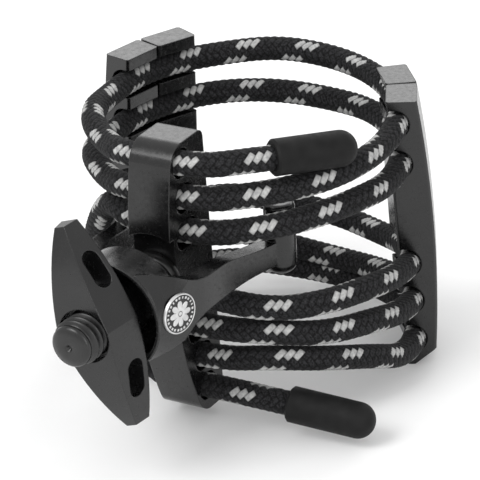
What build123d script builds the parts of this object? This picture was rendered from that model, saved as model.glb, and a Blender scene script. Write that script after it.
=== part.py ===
from build123d import *
from math import cos, sin, tan, radians, degrees, atan2, pi
import os

# Tenor saxophone ligature: one braided cord wound five turns round the mouthpiece.
# Millimetres. Z is the mouthpiece axis (up = towards the tip), the screw lies along -Y,
# and the origin is where the screw's axis meets the mouthpiece's axis.

# ---- driving dimensions -------------------------------------------------------------
CORD_R = 1.2              # braided cord
RING_R = 14.81            # cord centre line at the height of the screw
TAPER = 0.05              # the ring widens downwards by this much per mm
RIGHT_ANGLE = 33.0        # middle of the right pair of plates, degrees from +X
LEFT_ANGLE = 162.0        # middle of the left pair
RIGHT_LEVELS = (9.3, 5.1, -6.6, -10.7, -14.2)   # cord heights in the right plates
RIGHT_SLOPES = (-0.07, -0.06, 0.2, 0.22, 0.06)  # rise per mm as the cord runs to the front
LEFT_SLOPES = (0, 0, 0, 0, 0)
LEFT_RAISE = 0.8          # the left pair sits this much higher
HOLE_HEIGHTS = (11.4, 7.8, 4.2, -2.6, -6.0, -9.4, -12.8)   # the bracket's seven passages

PLATE_INSIDE = 1.1        # from the cord's centre line in to the plate's inner face
PLATE_THICK = 3.0         # at the plate's ends
PLATE_BOW = 0.7           # extra thickness at mid length
PLATE_WIDTH = 4.2         # across the inner face
RIGHT_OVER = 2.2          # plates above the top cord's centre
LEFT_OVER = 2.8
PLATE_UNDER = 2.4         # plates below the bottom cord's centre
PLATE_CHAMFER = (2.2, 1.7)    # bottom outer corner: along the radius, along Z
PLATE_STEP = 6.5          # each plate's own angle either side of the pair's middle
SEAM_GAP = (0.04, 0.22)   # half the gap between two plates, at the inside and at the outside
SLOT_R = 1.45             # half-round bottom of each cord slot
SLOT_FLOOR = 1.32         # from the cord's centre line out to the bottom of its slot
SLOT_LIFT = 0.15          # slot centre above the cord's centre
EDGE = 0.2                # broken edges

BRACKET_HALF = 2.2        # half the width across
BRACKET_FRONT = -19.45    # furthest forward point of the bowed front wall
BRACKET_BOW_R = 40.0      # radius of that bow
BRACKET_BOW_Z = 3.2       # height of its furthest point
BRACKET_TOP = 13.4
BRACKET_BOTTOM = -15.4
BRACKET_BACK = (-12.6, -11.3)    # inner wall at the top and at the bottom
BRACKET_ROUND = (2.2, 0.9)       # corner radii at the front and at the back
BRACKET_WALL = 1.3
PASSAGE_H = 2.8
PASSAGE_ROUND = 1.2       # corner radius
PASSAGE_LEAN = 0.1       # the cord's way through leans back by this much per mm of height
PASSAGE_Y = -15.5         # cord centre in the bracket at the screw's height
PASSAGE_BACK = 1.4        # from the cord's centre to the inner end of its passage
POCKET_R = 5.0            # round relief in the front wall
POCKET_DEPTH = 0.8

STUD_R = 2.25
STUD_END = -33.9
STUD_DOME = 0.3           # height of the domed end
STUD_COLLAR_R = 2.9
COLLAR_FRONT = -19.9
SPIGOT_R = 1.0
RUNNING = 0.05            # radial clearance of turning and sliding fits
FIXED = 0.02              # radial clearance of fixed joints

HUB_R = 5.3
HUB_FRONT = -27.0
HUB_BACK = -23.0
SEAT_R = 5.0              # round seat for the nut's boss
SEAT_DEPTH = 2.4
FOOT_R = 1.5
FOOT_AT = (8.1, -9.3)
FOOT_SPAN = (-1.6, 5.6)
FOOT_ROUND = (1.0, 0.5)   # end radii at the bottom and at the top
ARM_THICK = 1.7

NUT_BACK = -27.6
NUT_FRONT = -31.4
NUT_HALF_LENGTH = 9.9
NUT_TIP_FRONT = -29.3     # the front is bowed: this far forward at the tips
NUT_WIDTHS = (3.6, 2.8)   # half the width at the middle: back, front
NUT_TIPS = (0.9, 0.1)     # half the width of the blunt tips: back, front
NUT_BULGES = (0.5, 0.3)   # how far the sides bulge: back, front
NUT_TURN = -18.4          # how the long axis stands at rest, degrees
SLIT = (5.4, -29.0)       # middle of the slit through each wing: from the axis, and along Y
SLIT_SIZE = (3.6, 1.8)
BOSS_R = 3.0
BOSS_BACK = -24.65
COUNTERBORE_R = 2.6

CAP_R = 1.75
CAP_LENGTH = 8.5
CAP_BORE = 6.6
BADGE_R = 1.95
BADGE_THICK = 0.3
BADGE_AT = (5.87, -24.5, 0.45)       # middle of its back face
BADGE_OUTWARD = (5.3, -1.35, 0)


# ---- the cord's route ---------------------------------------------------------------
def ring_radius(z):
    return RING_R - TAPER * z


def passage_y(z):
    return PASSAGE_Y - PASSAGE_LEAN * z


def at_angle(angle, radius, z):
    return (radius * cos(radians(angle)), radius * sin(radians(angle)), z)


LEFT_LEVELS = tuple(z + LEFT_RAISE for z in RIGHT_LEVELS)
PAIRS = ((LEFT_ANGLE, LEFT_LEVELS, LEFT_SLOPES), (RIGHT_ANGLE, RIGHT_LEVELS, RIGHT_SLOPES))
ARC_STEP = 21.5           # between route points where the cord runs on its circle
BEND_AT = 4.0             # route points each side of the bracket
RUN_IN = (240, 225, 210)  # from the bracket round to the left plates
RUN_IN_OUT = (1.15, 1.1, 0.8)
RUN_IN_Z = ((10.3, 10.6, 10.6), (6.7, 7.1, 6.6), (4.9, -0.2, -4.5), (-4.6, -7.4, -9.3),
            (-8.4, -11.6, -13.4))
BEHIND = (108, 86.5)      # across the back
BEHIND_Z = ((10.5, 10.2), (5.7, 5.4), (-7.0, -7.8), (-12.2, -13.0), (-14.5, -14.9))
RUN_OUT = (-19, -38, -57)  # from the right plates round to the bracket
RUN_OUT_OUT = (0.6, 1.1, 1.4)
RUN_OUT_Z = ((8.5, 8.3, 8.05), (5.1, 5.05, 4.6), (-4.1, -3.9, -3.6), (-7.6, -7.0, -5.9),
             (-11.2, -9.6, -8.5))
UPPER_TAIL = ((14.6, -5.8, 10.9), (8.3, -14.3, 11.8))
LOWER_TAIL = ((8.5, -14.0, -12.9), (19.2, -12.4, -14.1))
FOLD_X = -4.0             # the cord folds back here, from the sixth passage to the seventh
CORD_END_GAP = 2.0        # cap tip to cord end


def cord_route():
    points = [UPPER_TAIL[0], UPPER_TAIL[1]]
    for turn in range(5):
        first = HOLE_HEIGHTS[turn]
        last = HOLE_HEIGHTS[turn + 1]
        points.append((BEND_AT, passage_y(first), first))
        points.append((-BEND_AT, passage_y(first), first))
        for angle, out, z in zip(RUN_IN, RUN_IN_OUT, RUN_IN_Z[turn]):
            points.append(at_angle(angle, ring_radius(z) + out, z))
        for middle, levels, slopes in PAIRS:
            radius = ring_radius(levels[turn]) / cos(radians(ARC_STEP / 2))
            for step in (1.5, 0.5, -0.5, -1.5):
                z = levels[turn] - slopes[turn] * RING_R * sin(radians(step * ARC_STEP))
                points.append(at_angle(middle + step * ARC_STEP, radius, z))
            if middle == LEFT_ANGLE:
                for angle, back_z in zip(BEHIND, BEHIND_Z[turn]):
                    back_radius = ring_radius(back_z) / cos(radians(ARC_STEP / 2))
                    points.append(at_angle(angle, back_radius, back_z))
        for angle, out, z in zip(RUN_OUT, RUN_OUT_OUT, RUN_OUT_Z[turn]):
            points.append(at_angle(angle, ring_radius(z) + out, z))
    points.append((BEND_AT, passage_y(last), last))
    points.append((FOLD_X, passage_y(last), last))
    points.append((FOLD_X, passage_y(HOLE_HEIGHTS[6]), HOLE_HEIGHTS[6]))
    points.append((BEND_AT, passage_y(HOLE_HEIGHTS[6]), HOLE_HEIGHTS[6]))
    points += LOWER_TAIL
    return [Vector(*p) for p in points]


def corner_radii(points):
    radii = []
    for before, here, after in zip(points, points[1:], points[2:]):
        turn = (here - before).get_angle(after - here)
        shorter = min((here - before).length, (after - here).length)
        radii.append(0.45 * shorter / tan(radians(turn / 2)))
    return radii


def shortened(points):
    """The cord stops short of the tip of each cap."""
    start = points[0] + (points[1] - points[0]).normalized() * CORD_END_GAP
    end = points[-1] + (points[-2] - points[-1]).normalized() * CORD_END_GAP
    return [start] + points[1:-1] + [end]


def cord(points):
    path_points = shortened(points)
    radii = corner_radii(path_points)
    path = FilletPolyline(*path_points, radius=radii)
    section = Plane(path @ 0, z_dir=path % 0) * Circle(CORD_R)
    tube = sweep(section, path=path)
    print("cord length %.1f mm, volume ratio %.4f" % (path.length, tube.volume / (pi * CORD_R**2 * path.length)))
    print("bend radii %.1f to %.1f mm" % (min(radii), max(radii)))
    return tube


def cap(tip, inner):
    """Rubber end cap: tip is its round end, inner the route point behind it."""
    place = Plane(tip, z_dir=inner - tip)
    body = extrude(place * Circle(CAP_R), CAP_LENGTH)
    body = fillet(body.faces().sort_by(Axis(tip, inner - tip))[0].edges(), CAP_R - 0.05)
    bore = extrude(place.offset(CAP_LENGTH - CAP_BORE) * Circle(CORD_R + FIXED), CAP_BORE)
    body -= bore
    mouth = body.faces().sort_by(Axis(tip, inner - tip))[-1]
    return chamfer(mouth.outer_wire().edges(), EDGE)


# ---- plates -------------------------------------------------------------------------
def plate(middle, levels, slopes, over, side):
    """One plate of a pair. side is -1 for the lower angle, +1 for the higher."""
    top = levels[0] + over
    bottom = levels[-1] - PLATE_UNDER

    def inner(z):
        return ring_radius(z) - PLATE_INSIDE

    centre = (top + bottom) / 2
    corner = bottom + PLATE_CHAMFER[1]
    outer_top = (inner(top) + PLATE_THICK, top)
    outer_middle = (inner(centre) + PLATE_THICK + PLATE_BOW, centre)
    outer_bottom = (inner(corner) + PLATE_THICK, corner)
    chamfer_end = (inner(bottom) + PLATE_THICK - PLATE_CHAMFER[0], bottom)
    outline = ThreePointArc(outer_top, outer_middle, outer_bottom)
    outline += Polyline(outer_bottom, chamfer_end, (inner(bottom), bottom), (inner(top), top), outer_top)
    body = extrude(Plane.XZ * make_face(outline.edges()), 2 * PLATE_WIDTH, both=True)

    # plan view: the seam side lies along the pair's middle plane, with a gap that opens outwards
    near, far = RING_R - 4, RING_R + 5
    seam_near = tan(radians(PLATE_STEP)) * near - SEAM_GAP[0]
    seam_far = tan(radians(PLATE_STEP)) * far - SEAM_GAP[1]
    free = PLATE_WIDTH - seam_near
    plan = Polyline((near, side * free), (far, side * free), (far, -side * seam_far),
                    (near, -side * seam_near), close=True)
    body &= extrude(Plane.XY.offset(bottom - 1) * make_face(plan.edges()), top - bottom + 2)
    body = chamfer(body.edges().filter_by(lambda e: e.length > 20), EDGE)
    body = body.rotate(Axis.Z, side * PLATE_STEP)
    for level, slope in zip(levels, slopes):
        z = level + SLOT_LIFT
        radius = ring_radius(level) + SLOT_FLOOR - SLOT_R
        section = Pos(radius, 0) * Circle(SLOT_R)
        section += Pos(radius - 1.5, 0) * Rectangle(3.0, 2 * SLOT_R)
        channel = revolve(Plane.XZ * section, Axis.Z, 60).rotate(Axis.Z, -30)
        body -= Pos(0, 0, z) * channel.rotate(Axis.X, -degrees(atan2(slope, 1)))
    return body.rotate(Axis.Z, middle)


# ---- bracket and stud ---------------------------------------------------------------
def bracket_front(z):
    return BRACKET_FRONT + (z - BRACKET_BOW_Z) ** 2 / (2 * BRACKET_BOW_R)


def bracket():
    front_top = (bracket_front(BRACKET_TOP), BRACKET_TOP)
    front_bottom = (bracket_front(BRACKET_BOTTOM), BRACKET_BOTTOM)
    back_top = (BRACKET_BACK[0], BRACKET_TOP)
    back_bottom = (BRACKET_BACK[1], BRACKET_BOTTOM)
    outline = ThreePointArc(front_top, (BRACKET_FRONT, BRACKET_BOW_Z), front_bottom)
    outline += Polyline(front_bottom, back_bottom, back_top, front_top)
    profile = make_face(outline.edges())
    near_back = BRACKET_BACK[0] - 0.1
    profile = fillet([v for v in profile.vertices() if v.X < near_back], BRACKET_ROUND[0])
    profile = fillet([v for v in profile.vertices() if v.X > near_back], BRACKET_ROUND[1])
    body = extrude(Plane.YZ * profile, BRACKET_HALF, both=True)
    for z in HOLE_HEIGHTS:
        start = min(bracket_front(z) + BRACKET_WALL, passage_y(z) - PASSAGE_BACK)
        end = passage_y(z) + PASSAGE_BACK
        passage = Pos((start + end) / 2, z) * RectangleRounded(end - start, PASSAGE_H, PASSAGE_ROUND)
        body -= extrude(Plane.YZ * passage, BRACKET_HALF + 1, both=True)
    front = Plane.XZ.offset(-BRACKET_FRONT - POCKET_DEPTH)
    body -= extrude(front * Circle(POCKET_R), 2)
    body -= rod(SPIGOT_R + FIXED, -8, -22)
    return body


def rod(radius, start, end):
    """Round rod along the screw's axis, from y = start forward to y = end."""
    return extrude(Plane.XZ.offset(-start) * Circle(radius), start - end)


def stud():
    """Stud with a domed end, a collar against the bracket and a spigot riveted through it."""
    seat = BRACKET_FRONT + POCKET_DEPTH
    slope = (BRACKET_BACK[1] - BRACKET_BACK[0]) / (BRACKET_TOP - BRACKET_BOTTOM)
    tail = BRACKET_BACK[0] + BRACKET_TOP * slope
    dome_radius = (STUD_R**2 + STUD_DOME**2) / (2 * STUD_DOME)
    dome = Pos(0, STUD_END + dome_radius, 0) * Sphere(dome_radius)
    dome &= rod(STUD_R, STUD_END + 2 * STUD_DOME, STUD_END - 1)
    shank = rod(STUD_R, seat, STUD_END + STUD_DOME) + dome
    return shank + rod(STUD_COLLAR_R, seat, COLLAR_FRONT) + rod(SPIGOT_R, tail, seat - 0.5)


# ---- bridge -------------------------------------------------------------------------
def arm():
    outer = ((5.25, -26.9), (6.6, -21.6), (7.1, -18.0), (7.6, -14.3), (8.9, -9.6))
    inner = tuple((x - ARM_THICK - (1.3 if y < -24 else 0), y + 0.3) for x, y in outer)
    plan = Line(outer[0], outer[1]) + Spline(*outer[1:], tangents=[(1.35, 5.3), (1, 3)])
    plan += Line(outer[-1], inner[-1]) + Spline(*reversed(inner[1:]), tangents=[(-1, -3), (-1.35, -5.3)])
    plan += Polyline(inner[1], inner[0], outer[0])
    solid = extrude(Plane.XY.offset(-7) * make_face(plan.edges()), 14)
    top = Spline((-26.9, 4.6), (-24.4, 3.9), (-21.8, 2.75), (-18.0, 2.7), (-14.5, 2.2), (-9.0, 2.2))
    low = Spline((-9.0, -0.3), (-14.5, -0.4), (-18.5, -0.6), (-21.8, -1.2), (-24.2, -2.9), (-26.9, -3.9))
    side = top + Line((-9.0, 2.2), (-9.0, -0.3)) + low + Line((-26.9, -3.9), (-26.9, 4.6))
    solid &= extrude(Plane.YZ * make_face(side.edges()), 12)
    return solid & flare()


def flare():
    """The arms grow out of the round hub inside this trumpet shape."""
    horn = Spline((HUB_R, HUB_FRONT), (5.9, -25.2), (7.3, -22.6), (10.5, -20.4))
    horn += Polyline((10.5, -20.4), (14, -20.0), (14, -8), (0, -8), (0, HUB_FRONT), (HUB_R, HUB_FRONT))
    return revolve(make_face(horn.edges()), Axis.Y)


def foot():
    low, high = FOOT_SPAN
    post = Pos(FOOT_AT[0], FOOT_AT[1], low) * extrude(Circle(FOOT_R), high - low)
    post = fillet(post.faces().sort_by(Axis.Z)[0].edges(), FOOT_ROUND[0])
    return fillet(post.faces().sort_by(Axis.Z)[-1].edges(), FOOT_ROUND[1])


def bridge():
    hub = extrude(Plane.XZ.offset(-HUB_BACK) * Circle(HUB_R), HUB_BACK - HUB_FRONT)
    side = arm() + foot()
    body = hub + side + side.mirror(Plane.YZ)
    seat = extrude(Plane.XZ.offset(-HUB_FRONT - SEAT_DEPTH) * Circle(SEAT_R), SEAT_DEPTH + 1)
    body -= seat
    body -= extrude(Plane.XZ.offset(-HUB_BACK - 4) * Circle(STUD_R + RUNNING), 8)
    return body


def badge():
    """Plain round ornament on the right arm."""
    place = Plane(Vector(*BADGE_AT), z_dir=Vector(*BADGE_OUTWARD))
    disc = extrude(place * Circle(BADGE_R), BADGE_THICK)
    return chamfer(disc.faces().sort_by(Axis(BADGE_AT, BADGE_OUTWARD))[-1].edges(), 0.1)


# ---- wing nut -----------------------------------------------------------------------
def nut_outline(half_width, tip, bulge):
    """Long rhombus with slightly bulged sides and blunt tips."""
    corners = ((tip, NUT_HALF_LENGTH), (half_width, 0), (tip, -NUT_HALF_LENGTH),
               (-tip, -NUT_HALF_LENGTH), (-half_width, 0), (-tip, NUT_HALF_LENGTH))
    edges = []
    for a, b in zip(corners, corners[1:] + corners[:1]):
        if a[0] * b[0] < 0:
            edges.append(Line(a, b))
        else:
            out = 1 if a[0] + b[0] > 0 else -1
            middle = ((a[0] + b[0]) / 2 + out * bulge, (a[1] + b[1]) / 2)
            edges.append(ThreePointArc(a, middle, b))
    return make_face(edges)


def wing_nut():
    back = Plane.XZ.offset(-NUT_BACK) * nut_outline(NUT_WIDTHS[0], NUT_TIPS[0], NUT_BULGES[0])
    front = Plane.XZ.offset(-NUT_FRONT) * nut_outline(NUT_WIDTHS[1], NUT_TIPS[1], NUT_BULGES[1])
    body = loft([back, front], ruled=True)
    bow = ThreePointArc((NUT_TIP_FRONT, NUT_HALF_LENGTH), (NUT_FRONT, 0), (NUT_TIP_FRONT, -NUT_HALF_LENGTH))
    bow += Polyline((NUT_TIP_FRONT, -NUT_HALF_LENGTH), (NUT_BACK, -NUT_HALF_LENGTH),
                    (NUT_BACK, NUT_HALF_LENGTH), (NUT_TIP_FRONT, NUT_HALF_LENGTH))
    body &= extrude(Plane.YZ * make_face(bow.edges()), 6, both=True)
    for end in (-1, 1):
        slit = Pos(SLIT[1], end * SLIT[0]) * RectangleRounded(SLIT_SIZE[1], SLIT_SIZE[0], 0.49 * SLIT_SIZE[1])
        body -= extrude(Plane.YZ * slit, 6, both=True)
    body += extrude(Plane.XZ.offset(-BOSS_BACK) * Circle(BOSS_R), BOSS_BACK - NUT_BACK + 0.5)
    body -= extrude(Plane.XZ.offset(-BOSS_BACK - 2) * Circle(STUD_R + RUNNING), 14)
    body -= extrude(Plane.XZ.offset(-NUT_FRONT - 1.2) * Circle(COUNTERBORE_R), 3)
    return body.rotate(Axis.Y, NUT_TURN)


# ---- write --------------------------------------------------------------------------
def main():
    route = cord_route()
    parts = {
        "cord": cord(route),
        "cap_upper": cap(route[0], route[1]),
        "cap_lower": cap(route[-1], route[-2]),
        "plate_right_front": plate(RIGHT_ANGLE, RIGHT_LEVELS, RIGHT_SLOPES, RIGHT_OVER, -1),
        "plate_right_back": plate(RIGHT_ANGLE, RIGHT_LEVELS, RIGHT_SLOPES, RIGHT_OVER, 1),
        "plate_left_back": plate(LEFT_ANGLE, LEFT_LEVELS, LEFT_SLOPES, LEFT_OVER, -1),
        "plate_left_front": plate(LEFT_ANGLE, LEFT_LEVELS, LEFT_SLOPES, LEFT_OVER, 1),
        "bracket": bracket(),
        "stud": stud(),
        "bridge": bridge(),
        "badge": badge(),
        "wing_nut": wing_nut(),
    }
    os.makedirs("parts", exist_ok=True)
    for name, shape in parts.items():
        export_step(shape, "parts/%s.step" % name)


main()
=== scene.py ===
import math

import bpy
import numpy as np
from mathutils import Matrix, Vector


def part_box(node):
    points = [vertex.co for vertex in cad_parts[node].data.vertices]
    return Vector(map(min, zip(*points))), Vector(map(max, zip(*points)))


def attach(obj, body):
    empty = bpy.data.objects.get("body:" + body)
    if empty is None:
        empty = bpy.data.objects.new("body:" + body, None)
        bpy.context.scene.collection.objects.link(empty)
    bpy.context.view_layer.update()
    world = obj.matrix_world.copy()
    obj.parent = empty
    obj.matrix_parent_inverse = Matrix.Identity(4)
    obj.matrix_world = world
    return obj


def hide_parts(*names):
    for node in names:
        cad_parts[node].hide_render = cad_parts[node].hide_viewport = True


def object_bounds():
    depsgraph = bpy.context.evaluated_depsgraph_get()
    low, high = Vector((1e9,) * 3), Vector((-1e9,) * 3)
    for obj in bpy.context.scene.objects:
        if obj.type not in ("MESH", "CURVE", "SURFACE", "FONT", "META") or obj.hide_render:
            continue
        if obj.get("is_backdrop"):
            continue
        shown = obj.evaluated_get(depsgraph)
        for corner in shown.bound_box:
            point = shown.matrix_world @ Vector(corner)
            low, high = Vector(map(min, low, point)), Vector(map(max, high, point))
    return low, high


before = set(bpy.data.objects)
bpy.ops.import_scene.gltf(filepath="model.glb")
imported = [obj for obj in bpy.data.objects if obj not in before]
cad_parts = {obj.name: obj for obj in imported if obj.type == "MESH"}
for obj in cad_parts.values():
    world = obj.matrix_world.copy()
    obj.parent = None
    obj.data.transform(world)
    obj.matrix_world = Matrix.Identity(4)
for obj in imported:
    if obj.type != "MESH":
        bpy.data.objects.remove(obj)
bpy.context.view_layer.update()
MM = 0.001

# ---- the cord's route, as the CAD has it ---------------------------------------------
CORD_R = 1.2 * MM
RING_R = 14.81 * MM
TAPER = 0.05
RIGHT_ANGLE = 33.0
LEFT_ANGLE = 162.0
RIGHT_LEVELS = [z * MM for z in (9.3, 5.1, -6.6, -10.7, -14.2)]
RIGHT_SLOPES = (-0.07, -0.06, 0.2, 0.22, 0.06)
LEFT_LEVELS = [z + 0.8 * MM for z in RIGHT_LEVELS]
LEFT_SLOPES = (0, 0, 0, 0, 0)
PAIRS = ((LEFT_ANGLE, LEFT_LEVELS, LEFT_SLOPES), (RIGHT_ANGLE, RIGHT_LEVELS, RIGHT_SLOPES))
HOLE_HEIGHTS = [z * MM for z in (11.4, 7.8, 4.2, -2.6, -6.0, -9.4, -12.8)]
PASSAGE_Y = -15.5 * MM
PASSAGE_LEAN = 0.1
ARC_STEP = 21.5
BEND_AT = 4.0 * MM
FOLD_X = -4.0 * MM
RUN_IN = (240, 225, 210)
RUN_IN_OUT = (1.15, 1.1, 0.8)
RUN_IN_Z = ((10.3, 10.6, 10.6), (6.7, 7.1, 6.6), (4.9, -0.2, -4.5), (-4.6, -7.4, -9.3),
            (-8.4, -11.6, -13.4))
BEHIND = (108, 86.5)
BEHIND_Z = ((10.5, 10.2), (5.7, 5.4), (-7.0, -7.8), (-12.2, -13.0), (-14.5, -14.9))
RUN_OUT = (-19, -38, -57)
RUN_OUT_OUT = (0.6, 1.1, 1.4)
RUN_OUT_Z = ((8.5, 8.3, 8.05), (5.1, 5.05, 4.6), (-4.1, -3.9, -3.6), (-7.6, -7.0, -5.9),
             (-11.2, -9.6, -8.5))
UPPER_TAIL = ((14.6, -5.8, 10.9), (8.3, -14.3, 11.8))
LOWER_TAIL = ((8.5, -14.0, -12.9), (19.2, -12.4, -14.1))

# ---- looks ---------------------------------------------------------------------------
CARRIERS = 8                # yarns of each hand in the braid
BRAID_CELL = 0.785 * MM     # from one yarn to the next along the cord
BRAID_RELIEF = 0.11 * MM
BRAID_FINE = 4              # mesh steps in one cell
PALE_YARNS = 3              # side by side, among the eight of one hand
YARN_FILAMENTS = 6
STUD_R = 2.25 * MM          # crest of the thread
STUD_ROOT = 1.76 * MM
THREAD_PITCH = 0.8 * MM
THREAD_STEPS = 12           # mesh rings in one pitch
STUD_COLUMNS = 56
SPIGOT_R = 1.0 * MM
COLLAR_R = 2.9 * MM
COLLAR_FRONT = -19.9 * MM
COLLAR_BACK = -18.65 * MM
COLLAR_EDGE = 0.1 * MM
CORD_HIDDEN = 8             # mesh rings left off at each end, inside the caps
BADGE_AT = Vector((5.87, -24.5, 0.45)) * MM
BADGE_OUTWARD = Vector((5.3, -1.35, 0)).normalized()
BADGE_R = 1.95 * MM
BADGE_THICK = 0.3 * MM
BADGE_COLUMNS = 128
BADGE_ROWS = 34
BADGE_SUNK = 0.07 * MM      # depth of the dark ground between the rosette and the rim
BADGE_ROUND = 0.06 * MM     # the outer edge is this much lower
UP = Vector((0, 0, 1))


def ring_radius(z):
    return RING_R - TAPER * z


def passage_y(z):
    return PASSAGE_Y - PASSAGE_LEAN * z


def at_angle(angle, radius, z):
    a = math.radians(angle)
    return (radius * math.cos(a), radius * math.sin(a), z)


def millimetres(point):
    return tuple(v * MM for v in point)


def cord_route():
    points = [millimetres(p) for p in UPPER_TAIL]
    for turn in range(5):
        first = HOLE_HEIGHTS[turn]
        last = HOLE_HEIGHTS[turn + 1]
        points.append((BEND_AT, passage_y(first), first))
        points.append((-BEND_AT, passage_y(first), first))
        for angle, out, z in zip(RUN_IN, RUN_IN_OUT, RUN_IN_Z[turn]):
            points.append(at_angle(angle, ring_radius(z * MM) + out * MM, z * MM))
        for middle, levels, slopes in PAIRS:
            radius = ring_radius(levels[turn]) / math.cos(math.radians(ARC_STEP / 2))
            for step in (1.5, 0.5, -0.5, -1.5):
                z = levels[turn] - slopes[turn] * RING_R * math.sin(math.radians(step * ARC_STEP))
                points.append(at_angle(middle + step * ARC_STEP, radius, z))
            if middle == LEFT_ANGLE:
                for angle, z in zip(BEHIND, BEHIND_Z[turn]):
                    back_radius = ring_radius(z * MM) / math.cos(math.radians(ARC_STEP / 2))
                    points.append(at_angle(angle, back_radius, z * MM))
        for angle, out, z in zip(RUN_OUT, RUN_OUT_OUT, RUN_OUT_Z[turn]):
            points.append(at_angle(angle, ring_radius(z * MM) + out * MM, z * MM))
    bottom = HOLE_HEIGHTS[6]
    points.append((BEND_AT, passage_y(last), last))
    points.append((FOLD_X, passage_y(last), last))
    points.append((FOLD_X, passage_y(bottom), bottom))
    points.append((BEND_AT, passage_y(bottom), bottom))
    points += [millimetres(p) for p in LOWER_TAIL]
    return points


def smooth_line(points):
    """The points of a smooth NURBS line with these control points."""
    curve = bpy.data.curves.new("cord_line", "CURVE")
    curve.dimensions = "3D"
    curve.resolution_u = 16
    spline = curve.splines.new("NURBS")
    spline.points.add(len(points) - 1)
    for control, point in zip(spline.points, points):
        control.co = (*point, 1.0)
    spline.order_u = 3
    spline.use_endpoint_u = True
    holder = bpy.data.objects.new("cord_line", curve)
    mesh = bpy.data.meshes.new_from_object(holder)
    line = np.array([v.co[:] for v in mesh.vertices])
    bpy.data.meshes.remove(mesh)
    bpy.data.objects.remove(holder)
    bpy.data.curves.remove(curve)
    return line


def even_points(line, spacing):
    """The same line in nearly equal steps."""
    steps = np.linalg.norm(np.diff(line, axis=0), axis=1)
    apart = steps > 1e-9
    line = line[np.concatenate([[True], apart])]
    arc = np.concatenate([[0], np.cumsum(steps[apart])])
    count = int(round(arc[-1] / spacing)) + 1
    where = np.linspace(0, arc[-1], count)
    return np.stack([np.interp(where, arc, line[:, k]) for k in range(3)], axis=1)


def frames_along(points):
    """Side and top directions along the line. They turn slowly back to upright where they can."""
    tangents = np.gradient(points, axis=0)
    tangents /= np.linalg.norm(tangents, axis=1)[:, None]
    top = UP
    tops = []
    for tangent in tangents:
        t = Vector(tangent)
        top = (top - t * top.dot(t)).normalized()
        upright = UP - t * t.z
        if upright.length > 0.3:
            top = (top + upright.normalized() * 0.01).normalized()
        tops.append(top[:])
    tops = np.array(tops)
    return np.cross(tangents, tops), tops


# ---- mesh helpers --------------------------------------------------------------------
def piece(name, verts, faces, body, material, replaces=(), uvs=None, values=None):
    mesh = bpy.data.meshes.new(name)
    mesh.from_pydata([tuple(v) for v in verts], [], faces)
    mesh.update()
    for polygon in mesh.polygons:
        polygon.use_smooth = True
    if uvs is not None:
        layer = mesh.uv_layers.new(name="lay")
        layer.data.foreach_set("uv", np.asarray(uvs, dtype=np.float32).ravel())
    if values is not None:
        attribute = mesh.attributes.new("relief", "FLOAT", "POINT")
        attribute.data.foreach_set("value", np.asarray(values, dtype=np.float32))
    made = bpy.data.objects.new(name, mesh)
    bpy.context.collection.objects.link(made)
    mesh.materials.append(material)
    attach(made, body)
    if replaces:
        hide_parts(*replaces)
    return made


def grid_faces(rows, columns):
    """Quads of a grid whose columns close into a ring."""
    faces = []
    for r in range(rows - 1):
        for c in range(columns):
            d = (c + 1) % columns
            this, following = r * columns, (r + 1) * columns
            faces.append((this + c, this + d, following + d, following + c))
    return faces


# ---- materials -----------------------------------------------------------------------
class Nodes:
    """A material and short calls that add nodes to it."""

    def __init__(self, name, roughness, metallic=0.0, specular=0.5):
        self.material = bpy.data.materials.new(name)
        self.material.use_nodes = True
        self.tree = self.material.node_tree
        self.shader = self.tree.nodes["Principled BSDF"]
        self.shader.inputs["Roughness"].default_value = roughness
        self.shader.inputs["Metallic"].default_value = metallic
        self.shader.inputs["Specular IOR Level"].default_value = specular

    def add(self, kind, **settings):
        node = self.tree.nodes.new(kind)
        for key, value in settings.items():
            setattr(node, key, value)
        return node

    def link(self, source, target):
        self.tree.links.new(source, target)

    def put(self, value, socket):
        if isinstance(value, (int, float)):
            socket.default_value = value
        else:
            self.link(value, socket)

    def math(self, operation, a, b=0.0):
        node = self.add("ShaderNodeMath", operation=operation)
        self.put(a, node.inputs[0])
        self.put(b, node.inputs[1])
        return node.outputs[0]

    def mix(self, factor, a, b):
        node = self.add("ShaderNodeMix", data_type="RGBA")
        self.put(factor, node.inputs["Factor"])
        for value, socket in ((a, node.inputs[6]), (b, node.inputs[7])):
            if isinstance(value, tuple):
                socket.default_value = (*value, 1.0)
            else:
                self.link(value, socket)
        return node.outputs[2]

    def noise(self, scale, detail=2.0, coordinates="Object"):
        texture = self.add("ShaderNodeTexNoise")
        texture.inputs["Scale"].default_value = scale
        texture.inputs["Detail"].default_value = detail
        source = self.add("ShaderNodeTexCoord")
        self.link(source.outputs[coordinates], texture.inputs["Vector"])
        return texture.outputs["Fac"]

    def spread(self, value, low, high):
        node = self.add("ShaderNodeMapRange")
        self.link(value, node.inputs["Value"])
        node.inputs["From Min"].default_value = 0.3
        node.inputs["From Max"].default_value = 0.7
        node.inputs["To Min"].default_value = low
        node.inputs["To Max"].default_value = high
        return node.outputs["Result"]

    def bump(self, height, strength, distance, normal=None):
        node = self.add("ShaderNodeBump")
        node.inputs["Strength"].default_value = strength
        node.inputs["Distance"].default_value = distance
        self.link(height, node.inputs["Height"])
        if normal is not None:
            self.link(normal, node.inputs["Normal"])
        self.link(node.outputs["Normal"], self.shader.inputs["Normal"])


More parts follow.
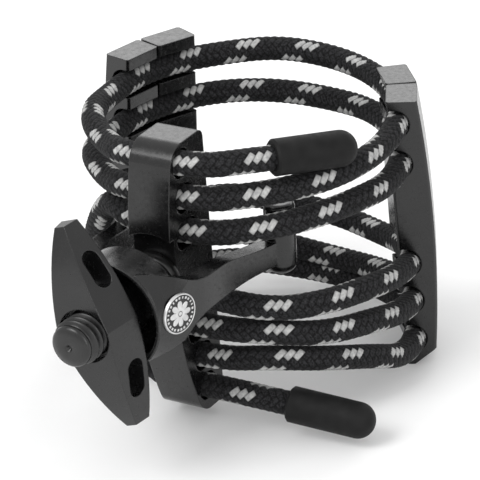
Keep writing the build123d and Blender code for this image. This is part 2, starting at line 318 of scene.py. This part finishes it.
def metal(name, dark, light, edge_highlight_colour, roughness, bevel):
    """Anodised metal: fine grain, slight tone changes, and edges painted paler as a highlight, with
    some wear.
    """
    m = Nodes(name, roughness, specular=0.55)
    tone = m.mix(m.spread(m.noise(420.0, 3.0), 0.0, 1.0), dark, light)
    rounded = m.add("ShaderNodeBevel", samples=6)
    rounded.inputs["Radius"].default_value = bevel
    flat = m.add("ShaderNodeNewGeometry")
    turn = m.add("ShaderNodeVectorMath", operation="DOT_PRODUCT")
    m.link(rounded.outputs["Normal"], turn.inputs[0])
    m.link(flat.outputs["Normal"], turn.inputs[1])
    # Painted highlight with some wear: edges, found where the bevelled normal turns away from the flat
    # one, are painted paler in patches.
    edge_highlight_and_wear = m.math("MULTIPLY", m.math("SUBTRACT", 1.0, turn.outputs["Value"]), 3.0)
    edge_highlight_and_wear = m.math("MINIMUM", edge_highlight_and_wear, 1.0)
    edge_highlight_and_wear = m.math("MULTIPLY", edge_highlight_and_wear, m.spread(m.noise(1500.0, 2.0), 0.25, 0.9))
    m.link(m.mix(edge_highlight_and_wear, tone, edge_highlight_colour), m.shader.inputs["Base Color"])
    gloss = m.spread(m.noise(2600.0, 4.0), roughness - 0.06, roughness + 0.08)
    m.link(gloss, m.shader.inputs["Roughness"])
    m.bump(m.noise(9000.0, 2.0), 0.06, 0.00002, rounded.outputs["Normal"])
    return m.material


def rubber():
    m = Nodes("cap_rubber", 0.62, specular=0.16)
    tone = m.mix(m.spread(m.noise(900.0, 3.0), 0.0, 1.0), (0.006, 0.006, 0.006), (0.012, 0.012, 0.012))
    m.link(tone, m.shader.inputs["Base Color"])
    m.link(m.spread(m.noise(1800.0, 3.0), 0.52, 0.72), m.shader.inputs["Roughness"])
    m.bump(m.noise(5200.0, 3.0), 0.18, 0.00004)
    return m.material


def braid():
    """Sixteen-carrier braid, two over and two under, with three pale yarns side by side in one hand.

    The UV map counts braid cells: u round the cord, v along it. Yarns of one hand keep u + v, and
    those of the other keep u - v. A yarn shows as floats two cells long."""
    m = Nodes("cord_braid", 0.85, specular=0.12)
    m.shader.inputs["Sheen Weight"].default_value = 0.06
    m.shader.inputs["Sheen Roughness"].default_value = 0.4
    lay = m.add("ShaderNodeUVMap", uv_map="lay")
    split = m.add("ShaderNodeSeparateXYZ")
    m.link(lay.outputs["UV"], split.inputs[0])
    a = m.math("ADD", split.outputs["X"], split.outputs["Y"])
    b = m.math("SUBTRACT", split.outputs["X"], split.outputs["Y"])
    i = m.math("FLOOR", a)
    j = m.math("FLOOR", b)
    place = m.math("FLOORED_MODULO", m.math("ADD", m.math("ADD", i, j), 0.5), 4.0)
    over = m.math("LESS_THAN", place, 2.0)
    under = m.math("SUBTRACT", 1.0, over)
    carrier = m.math("FLOORED_MODULO", m.math("ADD", i, 0.5), float(CARRIERS))
    pale_yarn = m.math("LESS_THAN", carrier, float(PALE_YARNS))
    fleck = m.math("MULTIPLY", over, pale_yarn)
    across = m.math("ADD", m.math("MULTIPLY", over, m.math("SUBTRACT", a, i)),
                    m.math("MULTIPLY", under, m.math("SUBTRACT", b, j)))
    second = m.math("SUBTRACT", place, 0.5)
    second = m.math("SUBTRACT", second, m.math("MULTIPLY", under, 2.0))
    along = m.math("ADD", m.math("ADD", m.math("MULTIPLY", over, m.math("SUBTRACT", b, j)),
                                 m.math("MULTIPLY", under, m.math("SUBTRACT", a, i))), second)
    crown = m.math("SINE", m.math("MULTIPLY", across, math.pi))
    arch = m.math("SINE", m.math("MULTIPLY", along, math.pi / 2))
    float_shape = m.math("MULTIPLY", crown, arch)
    shade = m.math("MINIMUM", m.math("MULTIPLY", m.math("POWER", float_shape, 0.6), 1.7), 1.0)
    filaments = m.math("SINE", m.math("MULTIPLY", across, YARN_FILAMENTS * 2 * math.pi))
    grain = m.spread(m.noise(5200.0, 3.0), 0.0, 1.0)
    dark = m.mix(grain, (0.003, 0.003, 0.0032), (0.034, 0.034, 0.036))
    pale = m.mix(m.spread(m.noise(3500.0, 3.0), 0.0, 1.0), (0.30, 0.30, 0.30), (0.50, 0.50, 0.49))
    cloth = m.mix(fleck, dark, pale)
    # Painted shade: between the yarns' floats the colour is darker, standing in for the shade in the
    # braid's crevices.
    crevice_painted_shade = m.mix(fleck, (0.004, 0.004, 0.004), (0.10, 0.10, 0.10))
    m.link(m.mix(shade, crevice_painted_shade, cloth), m.shader.inputs["Base Color"])
    cloth_height = m.math("ADD", shade, m.noise(6000.0, 3.0))
    height = m.math("ADD", m.math("MULTIPLY", filaments, 0.22), cloth_height)
    m.bump(height, 0.5, 0.00005)
    return m.material


def enamel_and_silver():
    m = Nodes("badge_metal", 0.32, metallic=0.85)
    relief = m.add("ShaderNodeAttribute", attribute_name="relief")
    raised = m.spread(relief.outputs["Fac"], 0.0, 1.0)
    silver = m.mix(m.spread(m.noise(1500.0, 2.0), 0.0, 1.0), (0.55, 0.55, 0.55), (0.72, 0.72, 0.72))
    m.link(m.mix(raised, (0.05, 0.05, 0.05), silver), m.shader.inputs["Base Color"])
    m.bump(m.noise(7000.0, 2.0), 0.1, 0.00002)
    return m.material


BLACK = metal(
    "black_anodised",
    dark=(0.002, 0.002, 0.0021),
    light=(0.0055, 0.0055, 0.0057),
    # paler colour painted on the edges: a painted highlight, with some wear
    edge_highlight_colour=(0.035, 0.035, 0.035),
    roughness=0.22,
    bevel=0.00016,
)
STEEL = metal(
    "black_steel",
    dark=(0.003, 0.003, 0.003),
    light=(0.007, 0.007, 0.007),
    # paler colour painted on the edges: a painted highlight, with some wear
    edge_highlight_colour=(0.05, 0.05, 0.05),
    roughness=0.32,
    bevel=0.00006,
)
RUBBER = rubber()
BRAID = braid()
BADGE = enamel_and_silver()


def dress(nodes, material):
    for name in nodes:
        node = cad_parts[name]
        if not node.material_slots:
            node.data.materials.append(material)
        for place in node.material_slots:
            place.material = material


# ---- pieces --------------------------------------------------------------------------
def braid_height(around, along):
    """Height of the braid's surface from 0 to 1, at these braid cells round and along the cord."""
    a, b = around + along, around - along
    i, j = np.floor(a + 1e-6), np.floor(b + 1e-6)
    place = (i + j) % 4
    over = place < 2
    across = np.where(over, a - i, b - j)
    lengthwise = np.where(over, b - j + place, a - i + place - 2)
    return np.sin(math.pi * across) * (0.55 + 0.45 * np.sin(math.pi / 2 * lengthwise))


def braided_cord():
    line = smooth_line(cord_route())
    points = even_points(line, BRAID_CELL / BRAID_FINE)[CORD_HIDDEN:-CORD_HIDDEN]
    sides, tops = frames_along(points)
    columns = CARRIERS * BRAID_FINE
    around = np.arange(columns) / BRAID_FINE
    turn = np.arange(columns) / columns * 2 * math.pi
    rings = []
    for k, point in enumerate(points):
        radius = CORD_R + BRAID_RELIEF * (braid_height(around, k / BRAID_FINE) - 0.75)
        upward = np.outer(radius * np.cos(turn), tops[k])
        rings.append(point + upward + np.outer(radius * np.sin(turn), sides[k]))
    uvs = []
    for r in range(len(points) - 1):
        for c in range(columns):
            corners = ((c, r), (c + 1, r), (c + 1, r + 1), (c, r + 1))
            uvs += [(u / BRAID_FINE, v / BRAID_FINE) for u, v in corners]
    verts = np.concatenate(rings)
    faces = grid_faces(len(points), columns)
    return piece("braided_cord", verts, faces, "frame", BRAID, replaces=["cord"], uvs=uvs)


def stud_rings():
    """(y, radius, share of the thread's full depth) from the spigot's end forward.

    A ring of the thread has no radius of its own."""
    low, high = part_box("stud")
    tail, end = high[1], low[1]
    rings = [
        (tail, SPIGOT_R, 0),
        (COLLAR_BACK, SPIGOT_R, 0),
        (COLLAR_BACK, COLLAR_R - COLLAR_EDGE, 0),
        (COLLAR_BACK - COLLAR_EDGE, COLLAR_R, 0),
        (COLLAR_FRONT + COLLAR_EDGE, COLLAR_R, 0),
        (COLLAR_FRONT, COLLAR_R - COLLAR_EDGE, 0),
        (COLLAR_FRONT, STUD_ROOT, 0),
    ]
    y = COLLAR_FRONT - 0.2 * MM
    finish = end + 0.75 * MM
    while y > finish:
        run_in = (COLLAR_FRONT - y) / (1.2 * MM)
        run_out = (y - finish) / (0.5 * MM) + 0.15
        rings.append((y, None, min(1.0, run_in, run_out)))
        y -= THREAD_PITCH / THREAD_STEPS
    domed_end = ((0.7, 2.02), (0.42, 1.98), (0.22, 1.78), (0.1, 1.2), (0.01, 0.42))
    dimple = ((0.05, 0.32), (0.4, 0.22), (0.45, 0.02))
    rings += [(end + inset * MM, radius * MM, 0) for inset, radius in domed_end + dimple]
    return rings


def threaded_stud():
    """The stud with its right-hand thread, domed end and centre dimple, and its collar."""
    rings = stud_rings()
    verts = []
    for y, fixed_radius, depth in rings:
        for c in range(STUD_COLUMNS):
            turn = c / STUD_COLUMNS * 2 * math.pi
            radius = fixed_radius
            if fixed_radius is None:
                phase = (y / THREAD_PITCH + c / STUD_COLUMNS) % 1.0
                ridge = min(1.0, max(0.0, 1.25 - abs(phase - 0.5) * 2.9))
                radius = STUD_ROOT + (STUD_R - STUD_ROOT) * ridge * max(0.0, depth)
            verts.append((radius * math.cos(turn), y, radius * math.sin(turn)))
    faces = grid_faces(len(rings), STUD_COLUMNS)
    last = (len(rings) - 1) * STUD_COLUMNS
    faces.append(tuple(reversed(range(STUD_COLUMNS))))
    faces.append(tuple(range(last, last + STUD_COLUMNS)))
    return piece("threaded_stud", verts, faces, "frame", STEEL, replaces=["stud"])


def badge_raised(part, turn):
    """Whether the badge stands proud at this share of its radius and this angle."""
    petal = 0.30 + 0.36 * abs(math.cos(4 * turn)) ** 0.6
    hub = part < 0.1
    petals = 0.14 < part < petal
    bead = 0.74 < part < 0.86 and math.cos(24 * turn) > 0.0
    rim = part > 0.91
    return hub or petals or bead or rim


def rosette_badge():
    """Round badge: a beaded rim round a plain eight-petalled rosette."""
    across = UP.cross(BADGE_OUTWARD)
    directions = []
    for c in range(BADGE_COLUMNS):
        turn = c / BADGE_COLUMNS * 2 * math.pi
        directions.append((turn, UP * math.cos(turn) + across * math.sin(turn)))
    verts, values = [], []
    for row in range(BADGE_ROWS):
        part = row / (BADGE_ROWS - 1)
        for turn, direction in directions:
            raised = badge_raised(part, turn)
            height = BADGE_THICK - (0.0 if raised else BADGE_SUNK)
            if row == BADGE_ROWS - 1:
                height -= BADGE_ROUND
            verts.append(BADGE_AT + direction * BADGE_R * part + BADGE_OUTWARD * height)
            values.append(1.0 if raised else 0.0)
    for _, direction in directions:
        verts.append(BADGE_AT + direction * BADGE_R)
        values.append(1.0)
    faces = grid_faces(BADGE_ROWS + 1, BADGE_COLUMNS)
    return piece("rosette_badge", verts, faces, "bridge", BADGE, replaces=["badge"], values=values)


dress(["plate_right_front", "plate_right_back", "plate_left_back", "plate_left_front"], BLACK)
dress(["bracket", "bridge", "wing_nut"], BLACK)
dress(["cap_upper", "cap_lower"], RUBBER)
braided_cord()
threaded_stud()
rosette_badge()


# ---- floor, lights and camera --------------------------------------------------------
def floor():
    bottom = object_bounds()[0][2]
    half = 1.5
    corners = ((-half, -half), (half, -half), (half, half), (-half, half))
    mesh = bpy.data.meshes.new("floor")
    mesh.from_pydata([(x, y, bottom) for x, y in corners], [], [(0, 1, 2, 3)])
    ground = bpy.data.objects.new("floor", mesh)
    bpy.context.collection.objects.link(ground)
    m = Nodes("floor_paper", 0.9, specular=0.1)
    tone = m.mix(m.spread(m.noise(60.0, 4.0), 0.0, 1.0), (0.90, 0.90, 0.90), (0.93, 0.93, 0.93))
    m.link(tone, m.shader.inputs["Base Color"])
    mesh.materials.append(m.material)
    ground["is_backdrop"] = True


def softbox(name, place, aim, size, power):
    light = bpy.data.lights.new(name, "AREA")
    light.shape = "RECTANGLE"
    light.size, light.size_y = size
    light.energy = power
    lamp = bpy.data.objects.new(name, light)
    bpy.context.collection.objects.link(lamp)
    lamp.location = place
    direction = Vector(aim) - Vector(place)
    lamp.rotation_mode = "QUATERNION"
    lamp.rotation_quaternion = direction.to_track_quat("-Z", "Y")


def studio():
    world = bpy.data.worlds.new("studio")
    bpy.context.scene.world = world
    world.use_nodes = True
    world.node_tree.nodes["Background"].inputs["Color"].default_value = (1, 1, 1, 1)
    world.node_tree.nodes["Background"].inputs["Strength"].default_value = 0.92
    softbox("key", (-0.12, -0.32, 0.36), (0, -0.008, 0), (0.22, 0.22), 1.1)
    softbox("fill", (0.38, -0.22, 0.16), (0, -0.008, 0), (0.18, 0.24), 0.35)
    softbox("back", (-0.05, 0.38, 0.22), (0, 0, 0), (0.5, 0.16), 0.45)


def camera():
    """The camera leans a little, so its up direction is given a roll."""
    azimuth, elevation, roll = math.radians(30.9), math.radians(25.5), math.radians(3.05)
    distance = 0.30075
    aim = Vector((-0.001334, -0.000916, -0.003972))
    back = Vector((math.sin(azimuth) * math.cos(elevation), -math.cos(azimuth) * math.cos(elevation),
                   math.sin(elevation)))
    level = Vector((math.cos(azimuth), math.sin(azimuth), 0))
    upright = back.cross(level)
    right = level * math.cos(roll) - upright * math.sin(roll)
    up = level * math.sin(roll) + upright * math.cos(roll)
    data = bpy.data.cameras.new("camera")
    data.sensor_width = 36.0
    data.lens = 229.43
    data.clip_start = 0.01
    made = bpy.data.objects.new("camera", data)
    bpy.context.collection.objects.link(made)
    axes = Matrix((right, up, back)).transposed().to_4x4()
    made.matrix_world = Matrix.Translation(aim + back * distance) @ axes
    bpy.context.scene.camera = made


floor()
studio()
camera()
bpy.context.scene.view_settings.view_transform = "Standard"
